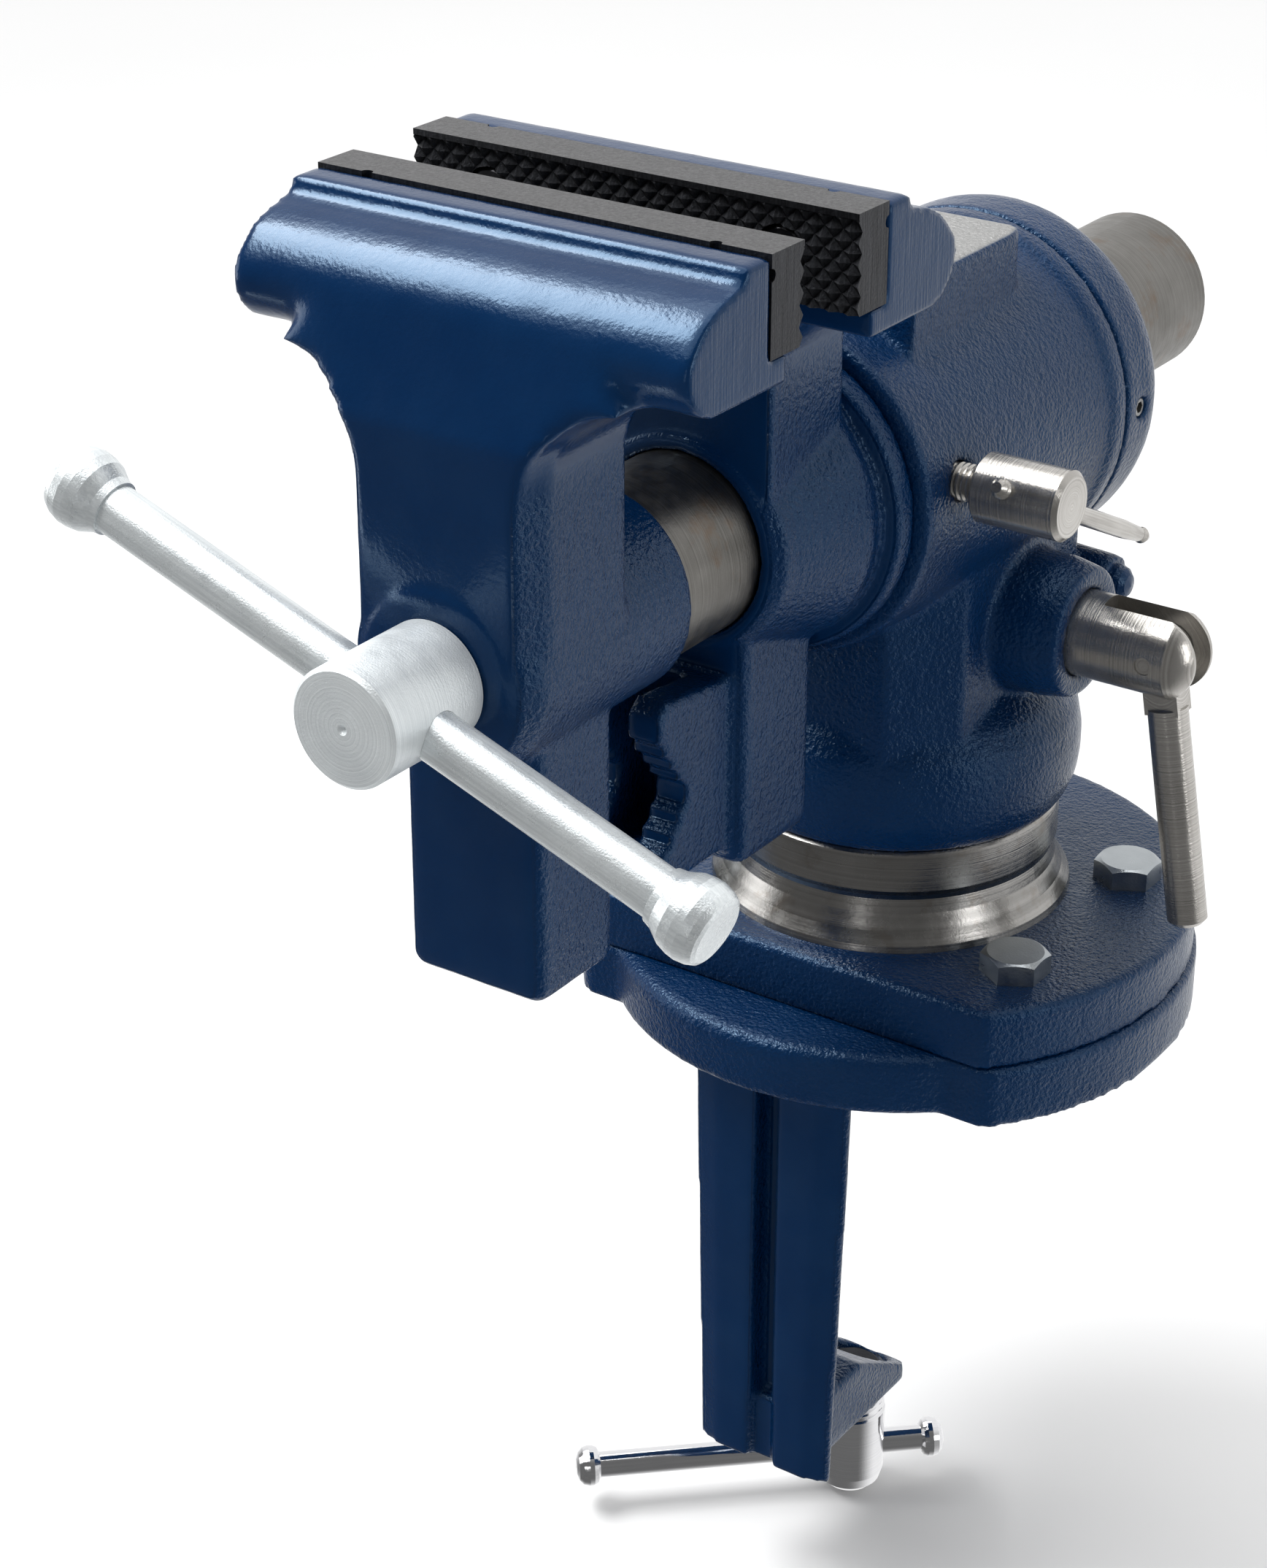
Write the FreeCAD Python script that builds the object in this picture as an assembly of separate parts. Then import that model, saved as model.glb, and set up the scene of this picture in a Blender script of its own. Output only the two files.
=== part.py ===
import FreeCAD, Part
import math
import os

# Swivelling, rotating bench vise with a table clamp.
# Frame: origin where the swivel axis meets the table face, +Z up, +Y to the rear,
# +X to the right as the user at the handle sees it. Millimetres.

V = FreeCAD.Vector
X_DIR, Y_DIR, Z_DIR = V(1, 0, 0), V(0, 1, 0), V(0, 0, 1)

# ---- driving dimensions ------------------------------------------------------
AXIS_Z = 174.0              # height of the spindle axis over the table face
FIT = 0.05                  # radial clearance of running fits
GAP = 0.3                   # face clearance between moving bodies

JAW_HALF = 62.5             # half the jaw width
JAW_TOP = 273.3             # top of the castings behind the plates
PLATE_TOP = 274.0
PLATE_BOTTOM = 250.0
PLATE_T = 13.0
FRONT_SEAT_Y = -169.5       # back of the front jaw plate
REAR_SEAT_Y = -120.8        # back of the rear jaw plate
GRIP_PITCH = 5.0
GRIP_DEPTH = 1.6
PLATE_SCREW_X = 41.0
PLATE_SCREW_Z = 261.0
PLATE_SCREW_R = 4.0

COLUMN_HALF = 26.0
COLUMN_FACE_HALF = 22.0
BLOCK_HALF = 20.0
PIPE_CHANNEL = 5.5          # half width of the hollow between the pipe jaw's cheeks
BLOCK_BOTTOM = 88.0
BLOCK_ROUND = 3.9           # radius round the block's lower edges
PIPE_HALF = 15.5
FRONT_FACE_Y = -209.5
FRONT_BOSS_R = 26.5
FRONT_BOSS_END_Y = -143.5
REAR_COLUMN_Y0 = -111.0
REAR_COLUMN_Y1 = -77.0

TUBE_R = 24.0
TUBE_BORE_R = 19.0
TUBE_Y0 = -195.0
TUBE_Y1 = 134.5
SLOT_HALF = 5.5
SLOT_Y0, SLOT_Y1 = -86.0, 56.0

SPINDLE_R = 9.9
SPINDLE_END_Y = 85.0
SPINDLE_LEAD = 5.0
JOURNAL_R = 10.5
HEAD_R = 14.6
HEAD_Y0 = -243.5
BOSS_FACE_Y = -210.5
NUT_Y0, NUT_Y1 = -75.0, -35.0
NUT_R = 18.2
STUD_Y = -55.0
STUD_R = 5.0

HANDLE_Y = -226.5
HANDLE_R = 6.3
HANDLE_DIP = 19.5           # degrees, right end down
HANDLE_SHIFT = -3.3         # centre of the bar from the spindle axis, along the bar
HANDLE_HALF = 91.5
KNOB_R = 10.0
KNOB_LEN = 15.0
KNOB_CAP = 5.0              # knob metal beyond the end of the bar
KNOB_NECK_R = 7.0
STEM_R = 4.5                # turned-down ends of the bar, inside the knobs

SLEEVE_R = 33.0
SLEEVE_Y0, SLEEVE_Y1 = -84.0, 50.0
FLANGE_R = 41.7
BARREL_Y0, BARREL_Y1 = -66.5, 33.0
BARREL_R0, BARREL_R1 = 45.4, 48.7
RIM_R = 50.1
RING_Y1 = 57.5
ANVIL_HALF = 29.0
PLUG_Y, PLUG_Z = 36.0, 124.0    # axis of the plug in the rear of the neck
ANVIL_TOP = 230.0
ANVIL_Y0, ANVIL_Y1 = -52.0, 10.5

HEAD_LOCK_Y = -49.5
HEAD_LOCK_Z = 180.5
HEAD_LOCK_R = 5.0
LOCK_HEAD_X0, LOCK_HEAD_X1 = 51.5, 76.5
LOCK_HEAD_R = 9.2
LOCK_BAR_X = 61.0
LOCK_BAR_R = 2.6
LOCK_BAR_TILT = -25.8       # degrees from +Y towards +Z
SWIVEL_LOCK_Z = 124.0
SWIVEL_BOSS_R = 19.5
SWIVEL_BOSS_X = 58.5
SWIVEL_SHAFT_R = 12.0
CLEVIS_PIN_X = 81.0
LEVER_R = 5.6
LEVER_LEAN = 10.0           # degrees outwards from straight down
LEVER_LEN = 79.0

POST_R = 30.0
POST_TOP = 133.0
SPIGOT_R = 47.5
SPIGOT_TOP = 64.0
SOCKET_R = 52.6
PLATE_Z0, PLATE_Z1 = 18.0, 35.0
BASE_R = 88.5
BASE_FLAT_Y = -60.0
PAD_R = 81.0
BOLT_X, BOLT_Y = 59.7, 33.5
BOLT_R = 5.0
BOLT_AF = 17.0
BOLT_HEAD_H = 6.4

COLUMN_FRONT_Y = -65.5
ARM_BOTTOM, ARM_TOP = -138.0, -116.0
ARM_END_Y = 0.5
ARM_LIP_Z = -136.0          # top of the lip where the arm's sloping upper side ends
ARM_SLOPE_Y = -34.0         # where that slope starts
PAD_TOP = -134.2            # top face of the clamp pad, down in the arm
CLAMP_Y = -11.5
CLAMP_R = 10.3
CLAMP_BAR_Z = -165.0
CLAMP_BAR_ANGLE = 42.6      # degrees from +X towards +Y
CLAMP_BAR_SHIFT = -28.6
CLAMP_BAR_HALF = 56.0
CLAMP_BAR_R = 4.0


# ---- helpers -----------------------------------------------------------------
def polygon(points):
    """Closed face through 3-D points."""
    return Part.Face(Part.makePolygon(points + points[:1]))


def prism_x(yz, x0, x1):
    """Prism of a (y, z) outline between two X planes."""
    return polygon([V(x0, y, z) for y, z in yz]).extrude(V(x1 - x0, 0, 0))


def prism_y(xz, y0, y1):
    """Prism of an (x, z) outline between two Y planes."""
    return polygon([V(x, y0, z) for x, z in xz]).extrude(V(0, y1 - y0, 0))


def prism_z(xy, z0, z1):
    """Prism of an (x, y) outline between two Z planes."""
    return polygon([V(x, y, z0) for x, y in xy]).extrude(V(0, 0, z1 - z0))


def box(x0, x1, y0, y1, z0, z1):
    """Axis-aligned box by its limits."""
    return Part.makeBox(x1 - x0, y1 - y0, z1 - z0, V(x0, y0, z0))


def turned(profile, origin, axis, radial):
    """Turned solid: (radius, distance along axis) points revolved about the axis."""
    points = [origin + radial * r + axis * t for r, t in profile]
    return polygon(points).revolve(origin, axis, 360)


def turned_y(profile):
    """Turned solid on the spindle axis; profile is (radius, y)."""
    return turned(profile, V(0, 0, AXIS_Z), Y_DIR, Z_DIR)


def turned_z(profile, y=0.0):
    """Turned solid on a vertical axis at x = 0; profile is (radius, z)."""
    return turned(profile, V(0, y, 0), Z_DIR, X_DIR)


def rod_x(radius, x0, x1, y, z):
    return Part.makeCylinder(radius, x1 - x0, V(x0, y, z), X_DIR)


def rod_y(radius, y0, y1, x=0.0, z=AXIS_Z):
    return Part.makeCylinder(radius, y1 - y0, V(x, y0, z), Y_DIR)


def rod_z(radius, z0, z1, x=0.0, y=0.0):
    return Part.makeCylinder(radius, z1 - z0, V(x, y, z0), Z_DIR)


def fuse(first, *others):
    """One clean solid from overlapping solids."""
    return first.fuse(list(others)).removeSplitter()


def round_edges(shape, radius, keep):
    """Fillet the edges whose centre and direction satisfy keep(edge)."""
    return shape.makeFillet(radius, [e for e in shape.Edges if keep(e)])


def is_along(edge, direction):
    """True for a straight edge parallel to a direction."""
    if len(edge.Vertexes) != 2:
        return False
    span = edge.Vertexes[1].Point - edge.Vertexes[0].Point
    return span.Length > 0 and abs(span.normalize().dot(direction)) > 0.999


def mirror_outline(half):
    """Full outline from its right half, listed from one end of the mirror line."""
    return half + [(-x, v) for x, v in reversed(half)]


def export(name, shape):
    """Write one node."""
    shape.exportStep(os.path.join("parts", name + ".step"))


# ---- jaw castings ------------------------------------------------------------
NOSE_CROWN = [(13.6, 269.0), (20.5, 267.0), (26.0, 263.8), (30.0, 259.4), (32.0, 255.0),
              (31.3, 251.0), (28.5, 246.7), (25.0, 244.2), (20.0, 243.4)]
NOSE_HEEL = 6.7             # how far the ledge reaches under the plate
NOSE_UNDER = 243.4
NOTCH_X, NOTCH_Z, NOTCH_R = 48.0, 269.2, 1.5    # pry notches on the back edges of the plates
SHOULDER_FADE = 12.0        # how far the column's shoulders draw in at the nose's bulge


def nose(seat_y, side):
    """Hammer-headed jaw bar; side is -1 for the front jaw and +1 for the rear jaw."""
    def at(s, z):
        return V(-JAW_HALF, seat_y + side * s, z)

    crown = Part.BSplineCurve()
    crown.interpolate([at(s, z) for s, z in NOSE_CROWN])
    top = Part.makePolygon([at(0, JAW_TOP), at(9.2, JAW_TOP), at(10.0, JAW_TOP - 0.8),
                            at(10.5, 270.3), at(*NOSE_CROWN[0])])
    under = Part.makePolygon([at(*NOSE_CROWN[-1]), at(-NOSE_HEEL, NOSE_UNDER),
                              at(-NOSE_HEEL, PLATE_BOTTOM - GAP), at(0, PLATE_BOTTOM - GAP),
                              at(0, JAW_TOP)])
    wire = Part.Wire(top.Edges + [crown.toShape()] + under.Edges)
    return Part.Face(wire).extrude(V(2 * JAW_HALF, 0, 0))


def column_outline(half, y, arch):
    """Front outline of a jaw column with arched shoulders under the nose."""
    low, high = AXIS_Z, NOSE_UNDER + 12.6
    spring = NOSE_UNDER - arch
    reach = half + arch
    bend = arch * (1 - math.cos(math.pi / 4))
    edges = []
    for sign in (1, -1):
        foot = V(sign * half, y, low)
        start = V(sign * half, y, spring)
        mid = V(sign * (half + bend), y, NOSE_UNDER - bend)
        end = V(sign * reach, y, NOSE_UNDER)
        top = V(sign * (reach - SHOULDER_FADE), y, high)
        parts = [Part.LineSegment(foot, start).toShape(), Part.Arc(start, mid, end).toShape(),
                 Part.LineSegment(end, top).toShape()]
        edges.append(parts if sign == 1 else parts[::-1])
    crown = Part.LineSegment(V(reach - SHOULDER_FADE, y, high),
                             V(SHOULDER_FADE - reach, y, high)).toShape()
    foot = Part.LineSegment(V(-half, y, low), V(half, y, low)).toShape()
    return Part.Wire(edges[0] + [crown] + edges[1] + [foot])


def pipe_teeth(face_y, side, depth, half):
    """V-shaped toothed notch that grips round stock, cut from a face at face_y."""
    low, high = 98.0, 134.0
    mid = (low + high) / 2
    steps = 4
    points = [(face_y - side * 1.0, low)]
    for i in range(steps):
        a = i / steps
        b = (i + 1) / steps
        z_a = low + (mid - low) * a
        z_b = low + (mid - low) * b
        points += [(face_y + side * depth * b, z_a + 1.2), (face_y + side * depth * (b - 0.08), z_b)]
    upper = [(y, 2 * mid - z) for y, z in reversed(points)]
    return prism_x(points + upper, -half, half)


def cover_block(y0, y1):
    """Square lower block that carries a pipe jaw."""
    block = box(-BLOCK_HALF, BLOCK_HALF, y0, y1, BLOCK_BOTTOM, AXIS_Z)
    block = round_edges(block, 4.0, lambda e: is_along(e, Z_DIR))
    low = [e for e in block.Edges if abs(e.CenterOfMass.z - BLOCK_BOTTOM) < 0.01]
    return block.makeFillet(BLOCK_ROUND, low)


def front_jaw():
    """Moving jaw: nose, arched column, spindle boss and lower block in one casting."""
    outer = column_outline(COLUMN_HALF, -200.5, 22.0)
    face = column_outline(COLUMN_FACE_HALF, FRONT_FACE_Y, 26.0)
    front = Part.makeLoft([outer, face], True, True)
    back = Part.Face(outer).extrude(V(0, 29.5, 0))
    side = prism_x([(-171.0, AXIS_Z), (-171.0, 250.0), (-201.0, 256.0), (FRONT_FACE_Y, 232.0),
                    (FRONT_FACE_Y, AXIS_Z)], -JAW_HALF, JAW_HALF)
    column = fuse(front, back).common(side)
    boss = turned_y([(0, FRONT_FACE_Y), (FRONT_BOSS_R - 3, FRONT_FACE_Y),
                     (FRONT_BOSS_R, FRONT_FACE_Y + 6), (FRONT_BOSS_R, FRONT_BOSS_END_Y - 1.5),
                     (FRONT_BOSS_R - 1.5, FRONT_BOSS_END_Y), (0, FRONT_BOSS_END_Y)])
    ring = turned_y([(0, BOSS_FACE_Y), (20.2, BOSS_FACE_Y), (21.4, BOSS_FACE_Y + 1.2), (21.4, -205.0),
                     (0, -205.0)])
    block = cover_block(-198.5, -167.3)
    casting = fuse(nose(FRONT_SEAT_Y, -1), column, boss, ring, block)
    cuts = [rod_y(TUBE_R, TUBE_Y0, FRONT_BOSS_END_Y + 1), rod_y(JOURNAL_R + FIT, -212.0, TUBE_Y0 + 1),
            pipe_teeth(-167.3, -1, 9.0, PIPE_HALF), rod_z(3.0, AXIS_Z, 201.0, 0, -150.0)]
    cuts += screw_holes(FRONT_SEAT_Y, -1)
    return casting.cut(cuts)


def rear_jaw():
    """Fixed jaw of the rotating head: nose, column, swelling boss, flange and pipe jaw."""
    outline = column_outline(COLUMN_HALF, REAR_COLUMN_Y0, 22.0)
    column = Part.Face(outline).extrude(V(0, REAR_COLUMN_Y1 - REAR_COLUMN_Y0, 0))
    boss = turned_y([(0, -112.5), (27.0, -112.5), (30.4, -109.0), (30.8, -105.5), (37.4, -80.5),
                     (37.0, -77.5), (34.5, -76.5), (34.5, -74.8), (40.2, -74.5), (FLANGE_R, -73.0),
                     (FLANGE_R, BARREL_Y0 - GAP), (0, BARREL_Y0 - GAP)])
    block = cover_block(-111.5, -78.2)
    bar = prism_x([(-142.2, 96.0), (-140.0, 93.0), (-108.0, 93.0), (-108.0, 139.5), (-112.0, 141.0),
                   (-138.0, 144.0), (-142.2, 141.0)], -PIPE_HALF, PIPE_HALF)
    bar = bar.cut(box(-PIPE_CHANNEL, PIPE_CHANNEL, -143.0, -116.0, 99.0, 145.0))
    casting = fuse(nose(REAR_SEAT_Y, 1), column, boss, block, bar)
    cuts = [rod_y(TUBE_R + FIT, -114.0, SLEEVE_Y0 + 1), rod_y(SLEEVE_R, SLEEVE_Y0, -60.0),
            pipe_teeth(-142.2, 1, 13.0, PIPE_HALF + 1)]
    cuts += screw_holes(REAR_SEAT_Y, 1)
    return casting.cut(cuts)


# ---- jaw plates and their screws ---------------------------------------------
def screw_holes(seat_y, side):
    """Blind threaded holes for the two plate screws of one jaw."""
    return [rod_y(PLATE_SCREW_R, min(seat_y, seat_y + side * 14), max(seat_y, seat_y + side * 14),
                  sign * PLATE_SCREW_X, PLATE_SCREW_Z) for sign in (-1, 1)]


def grip_grooves(grip_y, side):
    """Crossing V grooves that leave a field of pyramids on a grip face."""
    step = GRIP_PITCH / math.sqrt(2)
    mid_z = (PLATE_BOTTOM + PLATE_TOP) / 2
    reach = (PLATE_TOP - PLATE_BOTTOM) / 2
    count = math.ceil((JAW_HALF + reach) / GRIP_PITCH)
    length = reach * math.sqrt(2) + step
    section = [(-step / 2, grip_y - side * 0.01), (0, grip_y + side * GRIP_DEPTH),
               (step / 2, grip_y - side * 0.01)]
    grooves = []
    for k in range(-count, count + 1):
        for slant in (-45, 45):
            groove = prism_z(section, -length, length)
            groove.rotate(V(0, 0, 0), Y_DIR, slant)
            groove.translate(V(k * GRIP_PITCH, 0, mid_z))
            grooves.append(groove)
    return grooves


def jaw_plate(seat_y, side):
    """Hardened plate with a pyramid grip; side points from the grip face into the jaw."""
    grip_y = seat_y - side * PLATE_T
    y0, y1 = min(seat_y, grip_y), max(seat_y, grip_y)
    grip_top = PLATE_TOP - 1.5
    field = box(-JAW_HALF, JAW_HALF, y0, y1, PLATE_BOTTOM, grip_top).cut(grip_grooves(grip_y, side))
    plate = fuse(field, box(-JAW_HALF, JAW_HALF, y0, y1, grip_top, PLATE_TOP))
    cuts = []
    for sign in (-1, 1):
        head_end = grip_y + side * 7.0
        cuts.append(rod_y(6.75, min(grip_y - side, head_end), max(grip_y - side, head_end),
                          sign * PLATE_SCREW_X, PLATE_SCREW_Z))
        cuts.append(rod_y(PLATE_SCREW_R, y0 - 1, y1 + 1, sign * PLATE_SCREW_X, PLATE_SCREW_Z))
        cuts.append(rod_z(NOTCH_R, PLATE_TOP - 3.0, PLATE_TOP + 1, sign * NOTCH_X, seat_y))
        end = sorted((sign * (JAW_HALF - 2.0), sign * (JAW_HALF + 1.0)))
        cuts.append(rod_x(NOTCH_R, *end, seat_y, NOTCH_Z))
    return plate.cut(cuts)


def plate_screws(seat_y, side):
    """Two socket cap screws that hold a jaw plate."""
    screws = []
    grip_y = seat_y - side * PLATE_T
    for sign in (-1, 1):
        origin = V(sign * PLATE_SCREW_X, grip_y + side * 1.8, PLATE_SCREW_Z)
        axis = Y_DIR * side
        body = turned([(0, 0), (5.6, 0), (6.2, 0.6), (6.2, 5.2), (PLATE_SCREW_R, 5.2), (PLATE_SCREW_R, 24.0),
                       (PLATE_SCREW_R - 0.8, 24.8), (0, 24.8)], origin, axis, X_DIR)
        socket = Part.Face(hexagon(origin - axis, axis, X_DIR, 5.0)).extrude(axis * 4.0)
        screws.append(body.cut(socket))
    return Part.makeCompound(screws)


def hexagon(centre, normal, start, across_flats):
    """Regular hexagon wire about a centre."""
    corner_r = across_flats / math.sqrt(3)
    other = normal.cross(start)
    points = []
    for i in range(7):
        a = math.radians(60 * i)
        points.append(centre + start * (corner_r * math.cos(a)) + other * (corner_r * math.sin(a)))
    return Part.makePolygon(points)


# ---- slide tube, spindle and handle ------------------------------------------
def slide_tube():
    """Steel slide tube with a lengthwise slot underneath for the nut stud."""
    tube = turned_y([(TUBE_BORE_R, TUBE_Y0), (TUBE_R, TUBE_Y0), (TUBE_R, TUBE_Y1 - 1.0),
                     (TUBE_R - 1.0, TUBE_Y1), (TUBE_BORE_R + 0.6, TUBE_Y1), (TUBE_BORE_R, TUBE_Y1 - 0.6)])
    slot = box(-SLOT_HALF, SLOT_HALF, SLOT_Y0, SLOT_Y1, AXIS_Z - TUBE_R - 2, AXIS_Z)
    slot = round_edges(slot, SLOT_HALF - 0.2, lambda e: is_along(e, Z_DIR))
    return tube.cut([slot, rod_z(3.0, AXIS_Z, 201.0, 0, -150.0)])


def spindle():
    """Lead screw with a plain journal in front of its thread."""
    thread_root = SPINDLE_R - 2.2
    profile = [(0, -232.0), (7.5, -232.0), (7.5, BOSS_FACE_Y - GAP), (JOURNAL_R, BOSS_FACE_Y - GAP),
               (JOURNAL_R, -187.0), (thread_root, -186.0), (thread_root, -180.0)]
    y = -180.0
    while y + SPINDLE_LEAD < SPINDLE_END_Y - 2:
        profile += [(SPINDLE_R, y + 1.0), (SPINDLE_R, y + 2.6), (thread_root, y + 3.6),
                    (thread_root, y + SPINDLE_LEAD)]
        y += SPINDLE_LEAD
    profile += [(thread_root, SPINDLE_END_Y - 1), (thread_root - 1, SPINDLE_END_Y), (0, SPINDLE_END_Y)]
    return turned_y(profile).cut(rod_x(2.0, -16, 16, -191.5, AXIS_Z))


def handle_axis(distance, offset=0.0):
    """Point on the handle bar's centre line."""
    dip = math.radians(HANDLE_DIP)
    return V(distance * math.cos(dip), HANDLE_Y + offset, AXIS_Z - distance * math.sin(dip))


HANDLE_DIR = V(math.cos(math.radians(HANDLE_DIP)), 0, -math.sin(math.radians(HANDLE_DIP)))


def spindle_head():
    """Turned head, cross-drilled for the handle bar."""
    head_end = BOSS_FACE_Y - GAP
    head = turned_y([(0, HEAD_Y0), (HEAD_R - 1.0, HEAD_Y0), (HEAD_R, HEAD_Y0 + 1.0), (HEAD_R, head_end - 0.6),
                     (HEAD_R - 0.6, head_end), (7.5, head_end), (7.5, -232.0), (0, -232.0)])
    dimple = Part.makeCone(1.4, 0.2, 1.0, V(0, HEAD_Y0, AXIS_Z), Y_DIR)
    cross = Part.makeCylinder(HANDLE_R + FIT, 60, handle_axis(-30), HANDLE_DIR)
    return head.cut([dimple, cross])


def spindle_core():
    """Spindle with the handle hole carried through its nose."""
    cross = Part.makeCylinder(HANDLE_R + FIT, 60, handle_axis(-30), HANDLE_DIR)
    return spindle().cut(cross)


def handle_bar():
    """Sliding tommy bar of the spindle."""
    origin = handle_axis(HANDLE_SHIFT)
    half = HANDLE_HALF
    shoulder = half - (KNOB_LEN - KNOB_CAP)
    return turned([(0, -half), (STEM_R, -half), (STEM_R, -shoulder), (HANDLE_R, -shoulder),
                   (HANDLE_R, shoulder), (STEM_R, shoulder), (STEM_R, half), (0, half)],
                  origin, HANDLE_DIR, Y_DIR)


def bar_knob(origin, axis, radius, length, neck, bore):
    """Bell-shaped knob; the origin is the centre of its outer face and axis points inwards."""
    radial = Y_DIR if abs(axis.dot(Y_DIR)) < 0.1 else Z_DIR
    profile = [(0, 0), (radius * 0.76, 0), (radius * 0.86, radius * 0.06), (radius * 0.95, length * 0.16),
               (radius, length * 0.32), (radius * 0.99, length * 0.46), (radius * 0.93, length * 0.64),
               (neck + 0.5, length * 0.86), (neck, length), (bore, length), (bore, KNOB_CAP),
               (0, KNOB_CAP)]
    return turned(profile, origin, axis, radial)


def handle_knobs():
    """Both knobs of the spindle handle."""
    knobs = []
    for sign in (-1, 1):
        origin = handle_axis(HANDLE_SHIFT + sign * (HANDLE_HALF + KNOB_CAP))
        knobs.append(bar_knob(origin, HANDLE_DIR * -sign, KNOB_R, KNOB_LEN, KNOB_NECK_R, STEM_R))
    return Part.makeCompound(knobs)


def spindle_collar():
    """Collar behind the jaw wall that pulls the jaw open."""
    collar = turned_y([(JOURNAL_R, TUBE_Y0 + GAP), (16.0, TUBE_Y0 + GAP), (16.5, TUBE_Y0 + 0.8),
                       (16.5, -188.5), (16.0, -188.0), (JOURNAL_R, -188.0)])
    return collar.cut(rod_x(2.0, -18, 18, -191.5, AXIS_Z))


def spindle_nut():
    """Nut inside the slide tube, with a cross hole for its stud."""
    nut = turned_y([(SPINDLE_R + FIT, NUT_Y0), (NUT_R - 1, NUT_Y0), (NUT_R, NUT_Y0 + 1), (NUT_R, NUT_Y1 - 1),
                    (NUT_R - 1, NUT_Y1), (SPINDLE_R + FIT, NUT_Y1)])
    return nut.cut(rod_z(STUD_R, AXIS_Z - 30, AXIS_Z - 11.5, 0, STUD_Y))


# ---- rotating head in its housing --------------------------------------------
def head_sleeve():
    """Hardened sleeve that carries the head in the housing and guides the slide tube."""
    sleeve = turned_y([(TUBE_R + FIT, SLEEVE_Y0), (SLEEVE_R, SLEEVE_Y0), (SLEEVE_R, SLEEVE_Y1),
                       (TUBE_R + FIT, SLEEVE_Y1)])
    return sleeve.cut(rod_z(STUD_R, AXIS_Z - 40, AXIS_Z - 20, 0, STUD_Y))


def retaining_ring():
    """Rounded rear ring that holds the sleeve in the housing."""
    y0 = BARREL_Y1 + GAP
    ring = turned_y([(SLEEVE_R, y0), (RIM_R - 0.5, y0), (RIM_R, y0 + 0.5), (RIM_R, y0 + 13.0),
                     (49.4, y0 + 17.0), (47.4, y0 + 20.8), (44.6, y0 + 23.2), (41.0, RING_Y1),
                     (TUBE_R + 2.6, RING_Y1), (TUBE_R + 0.6, RING_Y1 - 2.0), (TUBE_R + 0.6, SLEEVE_Y1),
                     (SLEEVE_R, SLEEVE_Y1)])
    holes = [rod_x(3.0, sign * 41.6 - 9.6, sign * 41.6 + 9.6, 42.0, AXIS_Z) for sign in (-1, 1)]
    return ring.cut(holes)


def ring_screws():
    """Two grub screws that lock the ring on the sleeve."""
    screws = []
    for sign in (-1, 1):
        origin = V(sign * SLEEVE_R, 42.0, AXIS_Z)
        axis = X_DIR * sign
        body = turned([(0, 0), (2.2, 0), (3.0, 0.8), (3.0, 15.4), (2.4, 16.0), (0, 16.0)], origin, axis, Y_DIR)
        socket = Part.Face(hexagon(origin + axis * 12.5, axis, Y_DIR, 3.0)).extrude(axis * 5.0)
        screws.append(body.cut(socket))
    return Part.makeCompound(screws)


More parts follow.
